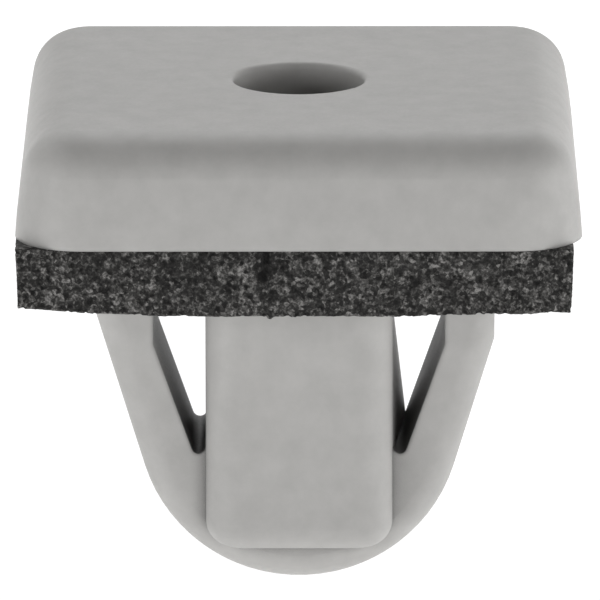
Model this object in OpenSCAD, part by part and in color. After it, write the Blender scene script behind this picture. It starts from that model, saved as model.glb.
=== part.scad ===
// Moulding grommet: a square pillow head on a snap-in stem, with a foam seal under the head.
// Millimetres. The stem points down, and z = 0 is the face of the panel that the seal presses on.
// The front is the -Y side, and the wings spread along X.

/* [Head] */
// Width of the square head, at its base
head_w = 17; // [15.5:0.1:20]
// Height of the head above the seal
head_h = 3.3; // [2.5:0.1:4.5]
// Lean of the head's sides at its base, in degrees
head_lean = 3.25; // [0:0.25:5]
// Radius of the slight curve of the head's sides
head_side_r = 16.5; // [10:0.5:40]
// Radius of the head's upright corners, at its base
head_corner_r = 2.05; // [1.8:0.05:4]
// Radius along the head's top edge
head_edge_r = 1.4; // [0.4:0.05:1.6]

/* [Screw bore] */
// Diameter of the blind bore that a tapping screw cuts into
bore_d = 4; // [3:0.1:4.4]
// Depth of the bore's floor below the panel face
bore_drop = 7; // [5:0.1:7.5]
// Radius round the bore's mouth
bore_lip_r = 0.15; // [0.05:0.05:0.4]

/* [Post] */
// Width of the post, between the two gaps
post_w = 5.7; // [5.2:0.05:6]
// How far the post stands out past the faces of the wings, front and back
post_proud = 1.2; // [0.9:0.05:1.4]
// Flat left on the post's sides between its round corners and the faces of the wings
post_side_flat = 0.05; // [0.05:0.01:0.1]
// Length of the post below the panel face
post_drop = 8.75; // [8:0.05:9.2]
// Radius round the post's foot
post_foot_r = 0.8; // [0.3:0.05:0.8]

/* [Nose] */
// Radius of the round nose, seen from the front
nose_r = 4.94; // [4.7:0.02:5.3]
// Depth of the nose's centre below the panel face
nose_drop = 5; // [4.6:0.05:5.4]

/* [Wings] */
// Depth of the nose and the wings, front to back
wing_d = 4.5; // [4:0.1:5.5]
// Radius along the outer edges of the nose and the wings
wing_edge_r = 0.8; // [0.3:0.05:1]
// Lean of the wings' outer faces, in degrees
wing_lean = 17; // [14:0.5:20]
// Lean of the wings' inner faces, in degrees, more than outside so that the wings thicken to their roots
inner_lean = 19.5; // [17:0.5:21]
// Distance of the upright upper part of the wings' inner faces from the middle
inner_span = 4.45; // [4.3:0.01:4.6]
// Distance of the left wing's upright outer land from the middle
left_land = 6.25; // [5.6:0.05:6.4]
// Distance of the right wing's upright outer land from the middle
right_land = 5.95; // [5.6:0.05:6.4]
// Depth below the panel face at which the wings' inner faces turn upright
inner_land = 2.45; // [1.5:0.05:3]
// Depth of the wings' tips below the panel face
tip_drop = 0.4; // [0.2:0.05:0.5]
// Depth of the gaps' floors below the panel face
gap_drop = 5.9; // [5.5:0.05:6.1]

/* [Foam seal] */
// How far the sides of the square seal stand in from the head's base
seal_inset = 0.2; // [0:0.05:1]
// Thickness of the seal, which sets the head's underside
seal_t = 2.05; // [1:0.05:3]
// Gap between the seal and the post, all round
seal_clearance = 0.2; // [0.1:0.05:0.4]

/* [Hidden] */
$fn = 96;
// Facets of the large circle that curves the head's sides
side_fn = 384;

nylon_colour = [0.66, 0.655, 0.645];
foam_colour = [0.21, 0.21, 0.205];

// Overrun of a cut past the face that it opens
cut_over = 1;

// Top of the head
head_top = seal_t + head_h;

// The post reaches through the wings, and its corners are round down to the flats beside them
post_d = wing_d + 2 * post_proud;
post_corner_r = post_proud - post_side_flat;

// Width of the square seal
seal_w = head_w - 2 * seal_inset;

// The gap's floor is one round that touches the post's side and the wing's sloping inner face
gap_r = ((inner_span - post_w / 2) * cos(inner_lean) - (gap_drop - inner_land) * sin(inner_lean))
    / (1 + cos(inner_lean) - sin(inner_lean));
gap_x = post_w / 2 + gap_r;
gap_z = gap_r - gap_drop;

// Slice of a disc between the X direction turned by lean and the Y direction
module disc_slice(r, lean = 0) {
    intersection() {
        circle(r);
        polygon([[0, 0], 2 * r * [cos(lean), sin(lean)], [2 * r, 2 * r], [0, 2 * r]]);
    }
}

// Upright section of the head's rim, from the middle of a corner to the curved side and round top edge
module head_rim() {
    side_mid = [head_corner_r - head_side_r * cos(head_lean), -head_side_r * sin(head_lean)];
    edge_z = head_h - head_edge_r;
    edge_x = side_mid[0] + sqrt(pow(head_side_r - head_edge_r, 2) - pow(edge_z - side_mid[1], 2));
    lean = atan2(edge_z - side_mid[1], edge_x - side_mid[0]);
    intersection() {
        translate(side_mid) circle(head_side_r, $fn = side_fn);
        polygon([
            [0, 0],
            [2 * head_corner_r, 0],
            [edge_x, edge_z] + 2 * head_corner_r * [cos(lean), sin(lean)],
            [edge_x, edge_z],
            [0, edge_z],
        ]);
    }
    translate([edge_x, edge_z]) disc_slice(head_edge_r, lean);
    translate([0, edge_z]) square([edge_x, head_edge_r]);
}

// Upright section of the post's rim, from the middle of a corner to the plain side and the rounded foot
module post_rim() {
    edge_z = seal_t + post_drop - post_foot_r;
    edge_x = post_corner_r - post_foot_r;
    square([post_corner_r, edge_z]);
    translate([edge_x, edge_z]) disc_slice(post_foot_r);
    translate([0, edge_z]) square([edge_x, post_foot_r]);
}

// Block on z = 0 with round upright corners, its rim shaped by the section given as its child
module rimmed_block(w, d, h, corner_r) {
    half_w = w / 2 - corner_r;
    half_d = d / 2 - corner_r;
    translate([-half_w, -half_d, 0]) cube([2 * half_w, 2 * half_d, h]);
    for (side = [0:3]) {
        out = side % 2 == 0 ? half_w : half_d;
        run = side % 2 == 0 ? half_d : half_w;
        rotate(90 * side) translate([out, run, 0]) {
            rotate([90, 0, 0]) linear_extrude(2 * run) children();
            rotate_extrude(angle = 90) children();
        }
    }
}

// Upright cutter with a round-cornered outline
module rounded_opening(w, d, h, corner_r) {
    half_w = w / 2 - corner_r;
    half_d = d / 2 - corner_r;
    linear_extrude(h) {
        square([w, 2 * half_d], center = true);
        square([2 * half_w, d], center = true);
        for (sx = [0, 1], sy = [0, 1])
            mirror([sx, 0]) mirror([0, sy]) translate([half_w, half_d]) disc_slice(corner_r);
    }
}

// Section from the nose's centre line to the outer face of the nose or a wing, with rounded outer edges
module rim_section() {
    flat = wing_d / 2 - wing_edge_r;
    edge_x = nose_r - wing_edge_r;
    translate([0, -wing_d / 2]) square([edge_x, wing_d]);
    translate([edge_x, -flat]) square([wing_edge_r, 2 * flat]);
    for (end = [0, 1])
        mirror([0, end]) translate([edge_x, flat]) disc_slice(wing_edge_r);
}

// Right half of the nose and wings, before the gaps are opened. The wing leaves the round nose at a tangent
// and runs straight up, and its outer corner is trimmed to an upright land.
module half_form(land) {
    wing_run = (nose_drop - tip_drop + nose_r) / cos(wing_lean);
    intersection() {
        translate([0, 0, -nose_drop]) rotate([0, wing_lean, 0]) {
            rotate([90, 0, 0]) rotate(-90) rotate_extrude(angle = 90) rim_section();
            linear_extrude(wing_run) rim_section();
        }
        translate([0, -wing_d, -nose_drop - 2 * nose_r])
            cube([land, 2 * wing_d, nose_drop + 2 * nose_r - tip_drop]);
    }
}

// Gap between the post and the right wing, cut from front to back
module wing_gap() {
    touch = [gap_x, gap_z] + gap_r * [cos(inner_lean), -sin(inner_lean)];
    rotate([90, 0, 0]) linear_extrude(wing_d + 2 * cut_over, center = true) {
        translate([gap_x, gap_z]) circle(gap_r);
        polygon([
            [gap_x, gap_z],
            touch,
            [inner_span, -inner_land],
            [inner_span, 0],
            [post_w / 2, 0],
            [post_w / 2, gap_z],
        ]);
    }
}

// Nose and both wings, with the gaps opened
module nose_and_wings() {
    difference() {
        union() {
            half_form(right_land);
            mirror([1, 0, 0]) half_form(left_land);
        }
        wing_gap();
        mirror([1, 0, 0]) wing_gap();
    }
}

// Blind screw bore with a rounded mouth
module screw_bore() {
    mouth_z = head_top - bore_lip_r;
    rotate_extrude() {
        translate([0, -bore_drop]) square([bore_d / 2, bore_drop + mouth_z]);
        difference() {
            translate([0, mouth_z]) square([bore_d / 2 + bore_lip_r, bore_lip_r + cut_over]);
            translate([bore_d / 2 + bore_lip_r, mouth_z]) circle(bore_lip_r);
        }
    }
}

// The whole moulding: head, post, nose and wings in one piece
module grommet_body() {
    color(nylon_colour)
    difference() {
        union() {
            translate([0, 0, seal_t])
                rimmed_block(head_w, head_w, head_h, head_corner_r) head_rim();
            translate([0, 0, seal_t]) mirror([0, 0, 1])
                rimmed_block(post_w, post_d, seal_t + post_drop, post_corner_r) post_rim();
            nose_and_wings();
        }
        screw_bore();
    }
}

// Square foam pad against the head's underside, with an opening that clears the post
module foam_seal() {
    color(foam_colour)
    difference() {
        translate([-seal_w / 2, -seal_w / 2, 0]) cube([seal_w, seal_w, seal_t]);
        translate([0, 0, -cut_over])
            rounded_opening(post_w + 2 * seal_clearance, post_d + 2 * seal_clearance,
                seal_t + 2 * cut_over, post_corner_r + seal_clearance);
    }
}

grommet_body();
foam_seal();
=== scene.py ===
# Moulding grommet: the finish of its nylon body, a sponge pad in place of the foam solid, light and camera
import itertools
import math

import bpy
import numpy as np
from mathutils import Matrix, Vector


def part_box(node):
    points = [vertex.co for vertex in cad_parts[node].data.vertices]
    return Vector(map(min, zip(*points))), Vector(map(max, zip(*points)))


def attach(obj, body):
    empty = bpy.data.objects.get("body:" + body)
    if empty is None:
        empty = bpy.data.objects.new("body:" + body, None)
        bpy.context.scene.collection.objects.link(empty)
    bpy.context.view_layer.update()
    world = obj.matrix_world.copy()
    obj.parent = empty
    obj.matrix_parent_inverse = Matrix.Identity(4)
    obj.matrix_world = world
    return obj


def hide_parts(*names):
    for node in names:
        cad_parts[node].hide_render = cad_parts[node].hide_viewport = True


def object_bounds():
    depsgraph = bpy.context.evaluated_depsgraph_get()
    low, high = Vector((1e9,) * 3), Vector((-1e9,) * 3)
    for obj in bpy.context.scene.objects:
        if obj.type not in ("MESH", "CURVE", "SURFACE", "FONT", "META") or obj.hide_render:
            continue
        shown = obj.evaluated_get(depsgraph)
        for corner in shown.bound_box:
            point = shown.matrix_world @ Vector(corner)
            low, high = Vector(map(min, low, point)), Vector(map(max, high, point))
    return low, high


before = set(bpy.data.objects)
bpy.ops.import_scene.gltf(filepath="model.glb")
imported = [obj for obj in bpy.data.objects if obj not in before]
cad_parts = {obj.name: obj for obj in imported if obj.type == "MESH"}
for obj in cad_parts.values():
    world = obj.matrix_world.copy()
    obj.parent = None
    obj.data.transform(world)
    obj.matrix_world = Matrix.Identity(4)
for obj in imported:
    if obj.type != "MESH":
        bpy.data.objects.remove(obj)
cad_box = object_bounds()

MM = 0.001
IMAGE_PX = 600

# Camera, fitted to the photograph: angles in degrees, lengths in millimetres
CAMERA_ELEVATION = 14.47
CAMERA_AZIMUTH = 0.12
CAMERA_ROLL = -0.06
CAMERA_FOCAL_PX = 11104.0
CAMERA_DISTANCE = 340.0
CAMERA_TARGET = (0.025, 0.0, -1.633)
CAMERA_NEAR = 10.0
CAMERA_FAR = 20000.0
SENSOR_MM = 36.0

# Floor: a pale light table whose glow changes slightly from front to back
FLOOR_HALF = 3000.0
FLOOR_ALBEDO = 0.9
FLOOR_WHITE_SHARE = 0.75
FLOOR_GLOW_FRONT = 0.76
FLOOR_GLOW_BACK = 0.78
FLOOR_GLOW_FROM_Y = -15.0
FLOOR_GLOW_TO_Y = 15.0

# Soft boxes, which all face the origin: name, centre, width, height, brightness
SOFT_BOXES = [
    ("left_front", (-214.0, -124.0, 35.0), 120.0, 75.0, 7.8),
    ("right_front", (124.0, -214.0, 35.0), 120.0, 75.0, 6.0),
    ("right", (248.0, 0.0, 35.0), 120.0, 75.0, 8.2),
    ("right_back", (116.0, 201.0, 94.0), 120.0, 60.0, 2.7),
    ("left_back", (-135.0, 135.0, 161.0), 120.0, 90.0, 3.6),
    ("back", (0.0, 192.0, 161.0), 120.0, 90.0, 4.3),
    ("top_back", (0.0, 106.0, 227.0), 120.0, 110.0, 2.7),
]

# Slope of the slight hollow in the head's top, reached this far from the middle, in millimetres
HOLLOW_SLOPE = 0.07
HOLLOW_REACH = 7.0

# Flare of the post's right side towards the back of the right gap, in millimetres
FLARE_SIDE = 2.84
FLARE_WIDTH = 0.45
FLARE_ROOT = 0.1
FLARE_FRONT = -2.2
FLARE_BACK = 2.24
FLARE_TOP = -2.0
FLARE_FOOT = -5.88
FLARE_STEPS = 12

# Radius to which the nylon's sharp edges are softened, in millimetres
EDGE_RADIUS = 0.2
EDGE_SAMPLES = 6

# Painted shade that darkens the nylon's colour in its recesses and inner corners: its reach in
# millimetres, its darkest share, and the shares of open sky at which it is darkest and gone
PAINTED_SHADE_REACH = 2.0
PAINTED_SHADE_DARKEST = 0.3
PAINTED_SHADE_CLOSED = 0.4
PAINTED_SHADE_OPEN = 0.82
PAINTED_SHADE_SAMPLES = 8

# Nylon: gloss, mottled colours, grain and faint waves, in millimetres
NYLON_IOR = 1.5
NYLON_SPECULAR = 0.3
NYLON_ROUGHNESS = (0.5, 0.62)
NYLON_MOTTLE_SIZE = 0.8
NYLON_MOTTLE_DETAIL = 4.0
NYLON_MOTTLE_ROUGHNESS = 0.6
NYLON_MOTTLE = [
    (0.3, (0.38, 0.374, 0.364)),
    (0.7, (0.424, 0.418, 0.407)),
]
NYLON_GRAIN_SIZE = 0.09
NYLON_GRAIN_DETAIL = 2.0
NYLON_GRAIN_SPAN = (0.3, 0.7)
NYLON_GRAIN_HEIGHT = 0.004
NYLON_GRAIN_STRENGTH = 0.3
NYLON_WAVE_SIZE = 1.7
NYLON_WAVE_DETAIL = 2.0
NYLON_WAVE_HEIGHT = 0.02
NYLON_WAVE_STRENGTH = 0.35

# Foam's finish: gloss, then the sizes and weights of what mixes its tone, painted shade in pits and the
# slit among them, in millimetres
FOAM_ROUGHNESS = 0.85
FOAM_SPECULAR = 0.25
FOAM_CELL_SIZE = 0.115
FOAM_CELL_WEIGHT = 0.4
FOAM_FINE_SIZE = 0.075
FOAM_FINE_DETAIL = 3.0
FOAM_FINE_ROUGHNESS = 0.6
FOAM_CLUMP_SIZE = 0.5
FOAM_CLUMP_DETAIL = 2.0
FOAM_CLUMP_WEIGHT = 0.4
FOAM_PIT_SHADE_WEIGHT = -0.35
FOAM_TONE_SPAN = (0.3, 1.3)
FOAM_TONES = [
    (0.15, (0.003, 0.0029, 0.0028)),
    (0.42, (0.0135, 0.013, 0.0124)),
    (0.6, (0.037, 0.036, 0.0344)),
    (0.76, (0.1, 0.0975, 0.094)),
    (0.92, (0.235, 0.229, 0.222)),
]
FOAM_BUMP_HEIGHT = 0.05
FOAM_BUMP_STRENGTH = 0.8

# Foam's mesh: spacing in millimetres, rows of points, and how the bottom rows crowd to the outside
FOAM_STEP = 0.052
FOAM_OPENING_CORNER = 1.35
FOAM_TOP_ROWS = 8
FOAM_BOTTOM_ROWS = 24
FOAM_BOTTOM_EASE = 1.4
FOAM_WALL_ROWS = 4

# Foam's relief, in millimetres. Reaches and levels are in cell sizes, and shares run from 0 to 1.
FOAM_PIT_SIZE = 0.16
FOAM_PIT_DEPTH = 0.08
FOAM_PIT_REACH = 0.8
FOAM_PIT_SHARE = 0.4
FOAM_PIT_SEED = 11
FOAM_GRAIN_SIZE = 0.1
FOAM_GRAIN_HEIGHT = 0.035
FOAM_GRAIN_LEVEL = 0.6
FOAM_GRAIN_LEAST = 0.4
FOAM_GRAIN_SEED = 23
FOAM_LUMP_SIZE = 0.7
FOAM_LUMP_HEIGHT = 0.05
FOAM_LUMP_SEED = 31

# Nothing stands proud this close under the head, and the face against it keeps a share of its relief
FOAM_HEAD_MARGIN = 0.15
FOAM_TOP_SHARE = 0.3

# Slit down the foam's front, in millimetres: it wanders, and it fades towards the foam's foot
FOAM_FRONT_FACING = -0.5
FOAM_SLIT_X = -0.85
FOAM_SLIT_DEPTH = 0.2
FOAM_SLIT_WIDTH = 0.12
FOAM_SLIT_WANDER = 0.3
FOAM_SLIT_WANDER_SIZE = 0.45
FOAM_SLIT_WANDER_SEED = 41
FOAM_SLIT_FADE_FROM = 0.5
FOAM_SLIT_FADE_RUN = 0.9
FOAM_SLIT_LEAST = 0.15
FOAM_SLIT_BREAK_SIZE = 0.3
FOAM_SLIT_BREAK_SEED = 43

# Tuft that hangs from the front's lower edge, in millimetres
FOAM_TUFT_X = -0.74
FOAM_TUFT_WIDTH = 0.14
FOAM_TUFT_DROP = 0.09
FOAM_TUFT_FROM_Y = 7.9
FOAM_TUFT_RUN = 0.4

# Rise of the lower face to the left and the right, in millimetres: side, height, start and run
FOAM_LIFTS = [
    (-1.0, 0.27, 2.2, 6.1),
    (1.0, 0.13, 1.0, 7.3),
]

# The pad sits off centre and narrows downwards, and its width is true at a share of its depth
FOAM_SHIFT_X = -0.125
FOAM_TAPER = 0.09
FOAM_TAPER_LEVEL = 0.4

# Large odd numbers and shifts that scramble a cell's whole numbers, kept to 32 bits by the mask
HASH_AXES = (374761393, 668265263, 2246822519)
HASH_SEED = 3266489917
HASH_MIX = 1274126177
HASH_SHIFTS = (13, 16)
HASH_MASK = 0xFFFFFFFF

# Step from a cell noise's seed to the seed of its points' own random numbers
OWNER_SEED_STEP = 7


def camera_axes():
    """Right, up and back directions of the camera."""
    elevation = math.radians(CAMERA_ELEVATION)
    azimuth = math.radians(CAMERA_AZIMUTH)
    back = Vector((
        math.sin(azimuth) * math.cos(elevation),
        -math.cos(azimuth) * math.cos(elevation),
        math.sin(elevation),
    ))
    right = (-back).cross(Vector((0, 0, 1))).normalized()
    up = right.cross(-back)
    roll = math.radians(CAMERA_ROLL)
    rolled_right = right * math.cos(roll) + up * math.sin(roll)
    rolled_up = up * math.cos(roll) - right * math.sin(roll)
    return rolled_right, rolled_up, back


def make_camera():
    right, up, back = camera_axes()
    place = (Vector(CAMERA_TARGET) + back * CAMERA_DISTANCE) * MM
    data = bpy.data.cameras.new("camera")
    data.sensor_width = SENSOR_MM
    data.sensor_fit = "HORIZONTAL"
    data.lens = CAMERA_FOCAL_PX / IMAGE_PX * SENSOR_MM
    data.clip_start = CAMERA_NEAR * MM
    data.clip_end = CAMERA_FAR * MM
    camera = bpy.data.objects.new("camera", data)
    camera.matrix_world = Matrix((
        (right.x, up.x, back.x, place.x),
        (right.y, up.y, back.y, place.y),
        (right.z, up.z, back.z, place.z),
        (0, 0, 0, 1),
    ))
    bpy.context.scene.collection.objects.link(camera)
    bpy.context.scene.camera = camera


def make_soft_box(name, centre, width, height, brightness):
    data = bpy.data.lights.new(name, "AREA")
    data.shape = "RECTANGLE"
    data.size = width * MM
    data.size_y = height * MM
    data.energy = brightness * math.pi * data.size * data.size_y
    light = bpy.data.objects.new(name, data)
    light.location = Vector(centre) * MM
    light.rotation_euler = Vector(centre).to_track_quat("Z", "Y").to_euler()
    light.visible_camera = False
    bpy.context.scene.collection.objects.link(light)


def math_node(nodes, links, operation, *values):
    """Math node whose inputs are sockets, which are linked, or plain numbers."""
    node = nodes.new("ShaderNodeMath")
    node.operation = operation
    for socket, value in zip(node.inputs, values):
        if isinstance(value, float):
            socket.default_value = value
        else:
            links.new(value, socket)
    return node.outputs[0]


def range_node(nodes, links, value, low, high, to_low, to_high):
    node = nodes.new("ShaderNodeMapRange")
    node.inputs["From Min"].default_value = low
    node.inputs["From Max"].default_value = high
    node.inputs["To Min"].default_value = to_low
    node.inputs["To Max"].default_value = to_high
    links.new(value, node.inputs["Value"])
    return node.outputs["Result"]


def mix_shader(nodes, links, share, first, second):
    """Mix of two shaders, with the given share of the second."""
    node = nodes.new("ShaderNodeMixShader")
    links.new(share, node.inputs[0])
    links.new(first, node.inputs[1])
    links.new(second, node.inputs[2])
    return node.outputs[0]


def axis_socket(nodes, links, place, axis):
    """One coordinate of a position."""
    axes = nodes.new("ShaderNodeSeparateXYZ")
    links.new(place, axes.inputs[0])
    return axes.outputs[axis]


def seen_by_eye(nodes, links):
    """Socket that is 1 for camera, glossy and transmission rays, and 0 for the others."""
    path = nodes.new("ShaderNodeLightPath")
    direct = math_node(
        nodes, links, "MAXIMUM", path.outputs["Is Camera Ray"], path.outputs["Is Glossy Ray"])
    return math_node(nodes, links, "MAXIMUM", direct, path.outputs["Is Transmission Ray"])


def make_world():
    """White backdrop for the eye and for reflections, which throws no other light on the object."""
    world = bpy.data.worlds.new("studio")
    bpy.context.scene.world = world
    world.use_nodes = True
    nodes = world.node_tree.nodes
    links = world.node_tree.links
    nodes.clear()
    out = nodes.new("ShaderNodeOutputWorld")
    white = nodes.new("ShaderNodeBackground")
    white.inputs["Color"].default_value = (1, 1, 1, 1)
    links.new(seen_by_eye(nodes, links), white.inputs["Strength"])
    links.new(white.outputs[0], out.inputs["Surface"])


def floor_material():
    """Pale table that glows, shows mostly white, keeps a soft shadow, and is clear from below."""
    material = bpy.data.materials.new("floor")
    material.use_nodes = True
    nodes = material.node_tree.nodes
    links = material.node_tree.links
    nodes.clear()
    out = nodes.new("ShaderNodeOutputMaterial")
    geometry = nodes.new("ShaderNodeNewGeometry")
    matte = nodes.new("ShaderNodeBsdfDiffuse")
    matte.inputs["Color"].default_value = (FLOOR_ALBEDO, FLOOR_ALBEDO, FLOOR_ALBEDO, 1)
    table = nodes.new("ShaderNodeEmission")
    glow = range_node(
        nodes, links, axis_socket(nodes, links, geometry.outputs["Position"], "Y"),
        FLOOR_GLOW_FROM_Y * MM, FLOOR_GLOW_TO_Y * MM, FLOOR_GLOW_FRONT, FLOOR_GLOW_BACK)
    links.new(glow, table.inputs["Strength"])
    lit = nodes.new("ShaderNodeAddShader")
    links.new(matte.outputs[0], lit.inputs[0])
    links.new(table.outputs[0], lit.inputs[1])
    white = nodes.new("ShaderNodeEmission")
    white.inputs["Strength"].default_value = 1.0
    share = math_node(nodes, links, "MULTIPLY", seen_by_eye(nodes, links), FLOOR_WHITE_SHARE)
    top = mix_shader(nodes, links, share, lit.outputs[0], white.outputs[0])
    clear = nodes.new("ShaderNodeBsdfTransparent")
    both = mix_shader(nodes, links, geometry.outputs["Backfacing"], top, clear.outputs[0])
    links.new(both, out.inputs["Surface"])
    return material


def make_floor():
    """Floor that the nose just touches."""
    low = cad_box[0][2]
    half = FLOOR_HALF * MM
    mesh = bpy.data.meshes.new("floor")
    mesh.from_pydata(
        [(-half, -half, low), (half, -half, low), (half, half, low), (-half, half, low)],
        [],
        [(0, 1, 2, 3)],
    )
    mesh.materials.append(floor_material())
    floor = bpy.data.objects.new("floor", mesh)
    bpy.context.scene.collection.objects.link(floor)


def noise_node(nodes, links, place, size_mm, detail, roughness=0.5):
    """Noise texture whose largest features are about size_mm across."""
    node = nodes.new("ShaderNodeTexNoise")
    node.inputs["Scale"].default_value = 1.0 / (size_mm * MM)
    node.inputs["Detail"].default_value = detail
    node.inputs["Roughness"].default_value = roughness
    links.new(place, node.inputs["Vector"])
    return node.outputs["Fac"]


def ramp_node(nodes, links, value, stops):
    """Colour ramp with the given (position, colour) stops."""
    node = nodes.new("ShaderNodeValToRGB")
    while len(node.color_ramp.elements) < len(stops):
        node.color_ramp.elements.new(0.5)
    for element, (position, colour) in zip(node.color_ramp.elements, stops):
        element.position = position
        element.color = (*colour, 1)
    links.new(value, node.inputs["Fac"])
    return node.outputs["Color"]


def bump_node(nodes, links, height, distance_mm, strength, under=None):
    """Normal of a bump over the normal given as under, or over the surface's own."""
    node = nodes.new("ShaderNodeBump")
    node.inputs["Strength"].default_value = strength
    node.inputs["Distance"].default_value = distance_mm * MM
    links.new(height, node.inputs["Height"])
    if under is not None:
        links.new(under, node.inputs["Normal"])
    return node.outputs["Normal"]


def new_material(name):
    material = bpy.data.materials.new(name)
    material.use_nodes = True
    nodes = material.node_tree.nodes
    links = material.node_tree.links
    shader = nodes["Principled BSDF"]
    place = nodes.new("ShaderNodeTexCoord").outputs["Object"]
    return material, nodes, links, shader, place


def painted_recess_shade(nodes, links, colour):
    """The colour with painted shade: darker in narrow recesses and inner corners, where shade falls."""
    open_share = nodes.new("ShaderNodeAmbientOcclusion")
    open_share.samples = PAINTED_SHADE_SAMPLES
    open_share.only_local = True
    open_share.inputs["Distance"].default_value = PAINTED_SHADE_REACH * MM
    level = range_node(
        nodes, links, open_share.outputs["AO"], PAINTED_SHADE_CLOSED, PAINTED_SHADE_OPEN, PAINTED_SHADE_DARKEST, 1.0)
    painted_shade_node = nodes.new("ShaderNodeVectorMath")
    painted_shade_node.operation = "SCALE"
    links.new(colour, painted_shade_node.inputs[0])
    links.new(level, painted_shade_node.inputs["Scale"])
    return painted_shade_node.outputs["Vector"]


def soft_edges(nodes):
    """Normal that rolls over the moulding's sharp edges, which have no true corner."""
    edges = nodes.new("ShaderNodeBevel")
    edges.samples = EDGE_SAMPLES
    edges.inputs["Radius"].default_value = EDGE_RADIUS * MM
    return edges.outputs["Normal"]


def hollow_normal(nodes, links, place):
    """Normal of the slight hollow that the thick head has sunk to, steeper towards its front and back."""
    depth = axis_socket(nodes, links, place, "Y")
    square = math_node(nodes, links, "MULTIPLY", depth, depth)
    fourth = math_node(nodes, links, "MULTIPLY", square, square)
    sink = math_node(nodes, links, "MULTIPLY", fourth, HOLLOW_SLOPE / 4 / (HOLLOW_REACH * MM) ** 3)
    return bump_node(nodes, links, sink, 1.0 / MM, 1.0, soft_edges(nodes))


def nylon_material():
    """Pale warm grey moulded nylon: satin, faintly mottled, with a fine spark-eroded grain."""
    material, nodes, links, shader, place = new_material("nylon")
    shader.inputs["IOR"].default_value = NYLON_IOR
    shader.inputs["Specular IOR Level"].default_value = NYLON_SPECULAR
    mottle = noise_node(
        nodes, links, place, NYLON_MOTTLE_SIZE, NYLON_MOTTLE_DETAIL, NYLON_MOTTLE_ROUGHNESS)
    colour = ramp_node(nodes, links, mottle, NYLON_MOTTLE)
    # Painted shade: the base colour darkens where the surface sees little open sky.
    links.new(painted_recess_shade(nodes, links, colour), shader.inputs["Base Color"])
    grain = noise_node(nodes, links, place, NYLON_GRAIN_SIZE, NYLON_GRAIN_DETAIL)
    rough = range_node(nodes, links, grain, *NYLON_GRAIN_SPAN, *NYLON_ROUGHNESS)
    links.new(rough, shader.inputs["Roughness"])
    wave = noise_node(nodes, links, place, NYLON_WAVE_SIZE, NYLON_WAVE_DETAIL)
    hollow = hollow_normal(nodes, links, place)
    broad = bump_node(nodes, links, wave, NYLON_WAVE_HEIGHT, NYLON_WAVE_STRENGTH, hollow)
    fine = bump_node(nodes, links, grain, NYLON_GRAIN_HEIGHT, NYLON_GRAIN_STRENGTH, broad)
    links.new(fine, shader.inputs["Normal"])
    return material


def foam_material():
    """Charcoal open-cell sponge: lighter skeleton specks over dark cells, with painted shade in its pits
    and slit.
    """
    material, nodes, links, shader, place = new_material("foam")
    shader.inputs["Roughness"].default_value = FOAM_ROUGHNESS
    shader.inputs["Specular IOR Level"].default_value = FOAM_SPECULAR
    cells = nodes.new("ShaderNodeTexVoronoi")
    cells.inputs["Scale"].default_value = 1.0 / (FOAM_CELL_SIZE * MM)
    links.new(place, cells.inputs["Vector"])
    random = nodes.new("ShaderNodeSeparateColor")
    links.new(cells.outputs["Color"], random.inputs["Color"])
    fine = noise_node(nodes, links, place, FOAM_FINE_SIZE, FOAM_FINE_DETAIL, FOAM_FINE_ROUGHNESS)
    clump = noise_node(nodes, links, place, FOAM_CLUMP_SIZE, FOAM_CLUMP_DETAIL)
    # Painted shade: the tone darkens where the skin lies deep in a pit or the slit.
    painted_pit_shade = nodes.new("ShaderNodeAttribute")
    painted_pit_shade.attribute_name = "painted_pit_shade"
    tone = fine
    for part, weight in (
        (random.outputs["Red"], FOAM_CELL_WEIGHT),
        (clump, FOAM_CLUMP_WEIGHT),
        (painted_pit_shade.outputs["Fac"], FOAM_PIT_SHADE_WEIGHT),
    ):
        tone = math_node(nodes, links, "MULTIPLY_ADD", part, weight, tone)
    level = range_node(nodes, links, tone, *FOAM_TONE_SPAN, 0.0, 1.0)
    links.new(ramp_node(nodes, links, level, FOAM_TONES), shader.inputs["Base Color"])
    normal = bump_node(nodes, links, tone, FOAM_BUMP_HEIGHT, FOAM_BUMP_STRENGTH)
    links.new(normal, shader.inputs["Normal"])
    return material


def hash01(cell, seed):
    """Repeatable number from 0 to 1 for each whole-numbered cell."""
    c = cell.astype(np.int64)
    h = c[:, 0] * HASH_AXES[0] + c[:, 1] * HASH_AXES[1] + c[:, 2] * HASH_AXES[2] + seed * HASH_SEED
    h = (h ^ (h >> HASH_SHIFTS[0])) & HASH_MASK
    h = (h * HASH_MIX) & HASH_MASK
    h = h ^ (h >> HASH_SHIFTS[1])
    return h / (HASH_MASK + 1.0)


def cell_noise(points, size, seed):
    """Distance to the nearest scattered point, in cell sizes, and that point's own random number."""
    scaled = points / size
    base = np.floor(scaled)
    nearest = np.full(len(points), np.inf)
    owner = np.zeros(len(points))
    for step in itertools.product((-1, 0, 1), repeat=3):
        cell = base + np.array(step)
        spot = cell + np.stack([hash01(cell, seed + k) for k in range(3)], axis=1)
        distance = np.linalg.norm(scaled - spot, axis=1)
        closer = distance < nearest
        nearest[closer] = distance[closer]
        owner[closer] = hash01(cell[closer], seed + OWNER_SEED_STEP)
    return nearest, owner


def smooth_noise(points, size, seed):
    """Soft noise from 0 to 1 with features of the given size."""
    scaled = points / size
    base = np.floor(scaled)
    part = scaled - base
    ease = part * part * (3 - 2 * part)
    total = np.zeros(len(points))
    for step in itertools.product((0, 1), repeat=3):
        corner = np.array(step)
        weight = np.prod(np.where(corner == 1, ease, 1 - ease), axis=1)
        total += weight * hash01(base + corner, seed)
    return total


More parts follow.
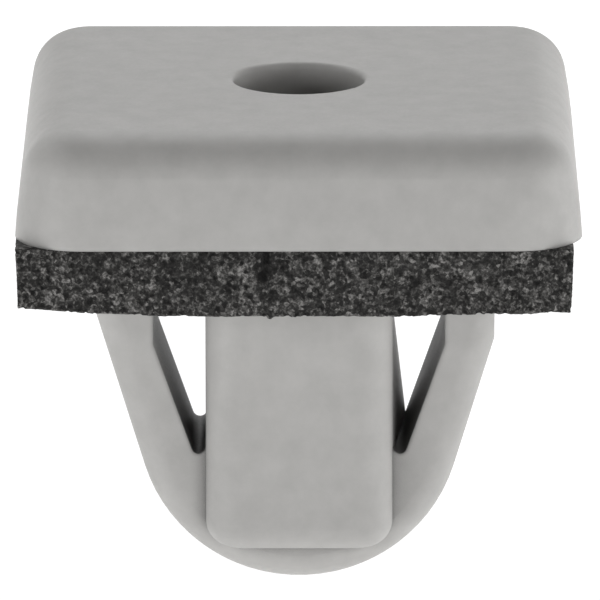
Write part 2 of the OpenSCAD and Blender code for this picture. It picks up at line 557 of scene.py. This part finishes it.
def square_ring(half, count):
    """Points round a square, count a side, from the front right corner, with outward directions."""
    along = np.linspace(-half, half, count, endpoint=False)
    ends = np.full(count, half)
    ring = np.concatenate([
        np.stack([ends, along], 1),
        np.stack([-along, ends], 1),
        np.stack([-ends, -along], 1),
        np.stack([along, -ends], 1),
    ])
    out = np.repeat(np.array([[1.0, 0], [0, 1], [-1, 0], [0, -1]]), count, axis=0)
    for side in range(4):
        corner = out[side * count] + out[side * count - 1]
        out[side * count] = corner / np.linalg.norm(corner)
    return ring, out


def opening_ring(half_x, half_y, radius, count):
    """Points round a round-cornered opening that pair with those of square_ring."""
    arc_steps = 40
    turns = np.radians(np.linspace(0, 90, arc_steps + 1))
    dense = []
    marks = []
    for side, (sx, sy) in enumerate([(1, -1), (1, 1), (-1, 1), (-1, -1)]):
        centre = np.array([sx * (half_x - radius), sy * (half_y - radius)])
        start = math.radians(90.0 * side - 90.0)
        arc = np.stack([np.cos(start + turns), np.sin(start + turns)], 1) * radius + centre
        marks.append(len(dense) + arc_steps // 2)
        dense.extend(arc)
    dense = np.array(dense)
    closed = np.concatenate([dense, dense[:marks[0] + 1]])
    length = np.concatenate([[0], np.cumsum(np.linalg.norm(np.diff(closed, axis=0), axis=1))])
    stops = [length[m] for m in marks] + [length[-1]]
    at = np.concatenate([np.linspace(stops[k], stops[k + 1], count, endpoint=False) for k in range(4)])
    return np.stack([np.interp(at, length, closed[:, 0]), np.interp(at, length, closed[:, 1])], 1)


def foam_rings(outer, out, inner, thick):
    """Smooth skin of the pad and its outward directions, ring by ring.

    The rings run from the opening's top edge outwards, down the sides, back in below and up the opening.
    """
    inward = -inner / np.linalg.norm(inner, axis=1)[:, None]
    flat = np.ones(len(outer))
    rings = []
    normals = []
    for k in range(FOAM_TOP_ROWS):
        mix = k / FOAM_TOP_ROWS
        rings.append(np.column_stack([inner + (outer - inner) * mix, thick * flat]))
        normals.append(np.column_stack([0 * out, flat]))
    side_rows = int(round(thick / FOAM_STEP))
    for k in range(side_rows + 1):
        height = thick * (1 - k / side_rows)
        tilt = -1.0 if k == side_rows else 0.0
        rings.append(np.column_stack([outer, height * flat]))
        normals.append(np.column_stack([out, tilt * flat]))
    for k in range(1, FOAM_BOTTOM_ROWS + 1):
        mix = (k / FOAM_BOTTOM_ROWS) ** FOAM_BOTTOM_EASE
        rings.append(np.column_stack([outer + (inner - outer) * mix, 0 * flat]))
        normals.append(np.column_stack([0 * out, -flat]))
    for k in range(1, FOAM_WALL_ROWS):
        rings.append(np.column_stack([inner, thick * k / FOAM_WALL_ROWS * flat]))
        normals.append(np.column_stack([inward, 0 * flat]))
    normal = np.concatenate(normals)
    return rings, normal / np.linalg.norm(normal, axis=1)[:, None]


def foam_relief(points, normal, is_top, thick):
    """How far each point of the skin moves out, and how deep it lies in a pit or the slit, from 0 to 1,
    for the painted shade there.
    """
    pit_near, pit_id = cell_noise(points, FOAM_PIT_SIZE, FOAM_PIT_SEED)
    hollow = np.clip(1 - pit_near / FOAM_PIT_REACH, 0, 1) * (pit_id < FOAM_PIT_SHARE)
    grain_near, grain_id = cell_noise(points, FOAM_GRAIN_SIZE, FOAM_GRAIN_SEED)
    tall = FOAM_GRAIN_LEAST + (1 - FOAM_GRAIN_LEAST) * grain_id
    grain = FOAM_GRAIN_HEIGHT * (FOAM_GRAIN_LEVEL - grain_near) * tall
    lumps = FOAM_LUMP_HEIGHT * (smooth_noise(points, FOAM_LUMP_SIZE, FOAM_LUMP_SEED) - 0.5)
    move = grain + lumps - FOAM_PIT_DEPTH * hollow
    sunk = np.minimum(move, 0)
    near_head = thick - points[:, 2] < FOAM_HEAD_MARGIN
    move = np.where(is_top, sunk * FOAM_TOP_SHARE, np.where(near_head, sunk, move))

    front = (normal[:, 1] < FOAM_FRONT_FACING) & ~is_top
    sway = smooth_noise(points, FOAM_SLIT_WANDER_SIZE, FOAM_SLIT_WANDER_SEED) - 0.5
    middle = FOAM_SLIT_X + FOAM_SLIT_WANDER * sway
    slit = np.exp(-((points[:, 0] - middle) / FOAM_SLIT_WIDTH) ** 2) * front
    slit *= np.clip((points[:, 2] - FOAM_SLIT_FADE_FROM) / FOAM_SLIT_FADE_RUN, FOAM_SLIT_LEAST, 1)
    slit *= 0.5 + smooth_noise(points, FOAM_SLIT_BREAK_SIZE, FOAM_SLIT_BREAK_SEED)
    return move - FOAM_SLIT_DEPTH * slit, np.clip(hollow + slit, 0, 1)


def bend_foam(points, half, thick):
    """Lifts the pad's lower face to the sides, hangs the tuft, and moves and tapers the whole pad."""
    share = 1 - np.clip(points[:, 2] / thick, 0, 1)
    x = points[:, 0].copy()
    rise = np.zeros(len(points))
    for side, height, start, run in FOAM_LIFTS:
        rise += height * np.clip((side * x - start) / run, 0, 1) ** 2
    tuft = np.exp(-((x - FOAM_TUFT_X) / FOAM_TUFT_WIDTH) ** 2)
    tuft *= np.clip((-points[:, 1] - FOAM_TUFT_FROM_Y) / FOAM_TUFT_RUN, 0, 1)
    points[:, 2] += share * (rise - FOAM_TUFT_DROP * tuft)
    points[:, 0] += FOAM_SHIFT_X + FOAM_TAPER * (FOAM_TAPER_LEVEL - share) * x / half


def ring_faces(ring_count, ring_size):
    """Quads of a closed skin whose rings follow one another and end where they began."""
    index = np.arange(ring_count * ring_size).reshape(ring_count, ring_size)
    beside = np.roll(index, -1, axis=1)
    below = np.roll(index, -1, axis=0)
    corner = np.roll(below, -1, axis=1)
    return np.stack([index, below, corner, beside], axis=-1).reshape(-1, 4)


def make_foam():
    """Sponge pad with an opening round the post: one closed skin, pitted and ragged like cut foam."""
    low, high = (np.array(corner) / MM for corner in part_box("foam_seal"))
    half = (high[0] - low[0]) / 2
    thick = high[2] - low[2]
    count = int(round(2 * half / FOAM_STEP))
    outer, out = square_ring(half, count)
    solid = np.array([v.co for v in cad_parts["foam_seal"].data.vertices]) / MM
    rim = np.abs(solid[np.abs(solid[:, :2]).max(axis=1) < half - FOAM_STEP])
    inner = opening_ring(rim[:, 0].max(), rim[:, 1].max(), FOAM_OPENING_CORNER, count)
    rings, normal = foam_rings(outer, out, inner, thick)
    points = np.concatenate(rings)
    is_top = np.repeat(np.arange(len(rings)), len(outer)) <= FOAM_TOP_ROWS
    move, painted_shade_depth = foam_relief(points, normal, is_top, thick)
    points = points + normal * move[:, None]
    bend_foam(points, half, thick)
    points[:, 2] += low[2]

    mesh = bpy.data.meshes.new("foam_pad")
    mesh.from_pydata((points * MM).tolist(), [], ring_faces(len(rings), len(outer)).tolist())
    mesh.polygons.foreach_set("use_smooth", np.ones(len(mesh.polygons), dtype=bool))
    # Depth in pits and the slit, kept on the points for the painted shade in the foam's colour.
    pit_shade_layer = mesh.attributes.new("painted_pit_shade", "FLOAT", "POINT")
    pit_shade_layer.data.foreach_set("value", painted_shade_depth.astype(np.float32))
    mesh.update()
    mesh.materials.append(foam_material())
    foam = bpy.data.objects.new("foam_pad", mesh)
    bpy.context.scene.collection.objects.link(foam)
    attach(foam, "root")
    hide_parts("foam_seal")


def make_flare(material):
    """Thin wedge on the post's right side, thickest at the back and foot of the right gap."""
    steps = np.linspace(0.0, 1.0, FLARE_STEPS + 1)
    back, down = (axis.ravel() for axis in np.meshgrid(steps, steps, indexing="ij"))
    depth = FLARE_FRONT + (FLARE_BACK - FLARE_FRONT) * back
    height = FLARE_TOP + (FLARE_FOOT - FLARE_TOP) * down
    outer = np.column_stack([FLARE_SIDE + FLARE_WIDTH * back * down, depth, height])
    inner = np.column_stack([np.full(len(back), FLARE_SIDE - FLARE_ROOT), depth, height])
    count = FLARE_STEPS + 1
    index = np.arange(count * count).reshape(count, count)
    outer_faces = np.stack(
        [index[:-1, :-1], index[:-1, 1:], index[1:, 1:], index[1:, :-1]], axis=-1).reshape(-1, 4)
    rim = np.concatenate([index[0, :-1], index[:-1, -1], index[-1, :0:-1], index[:0:-1, 0]])
    ahead = np.roll(rim, -1)
    shift = count * count
    rim_faces = np.stack([rim, rim + shift, ahead + shift, ahead], axis=1)
    faces = np.concatenate([outer_faces, outer_faces[:, ::-1] + shift, rim_faces])
    mesh = bpy.data.meshes.new("post_flare")
    mesh.from_pydata((np.concatenate([outer, inner]) * MM).tolist(), [], faces.tolist())
    mesh.materials.append(material)
    flare = bpy.data.objects.new("post_flare", mesh)
    bpy.context.scene.collection.objects.link(flare)
    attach(flare, "root")


bpy.context.scene.view_settings.view_transform = "Standard"
make_camera()
make_world()
make_floor()
for soft_box in SOFT_BOXES:
    make_soft_box(*soft_box)

nylon = nylon_material()
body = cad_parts["grommet_body"]
body.data.materials.clear()
body.data.materials.append(nylon)
make_flare(nylon)
make_foam()
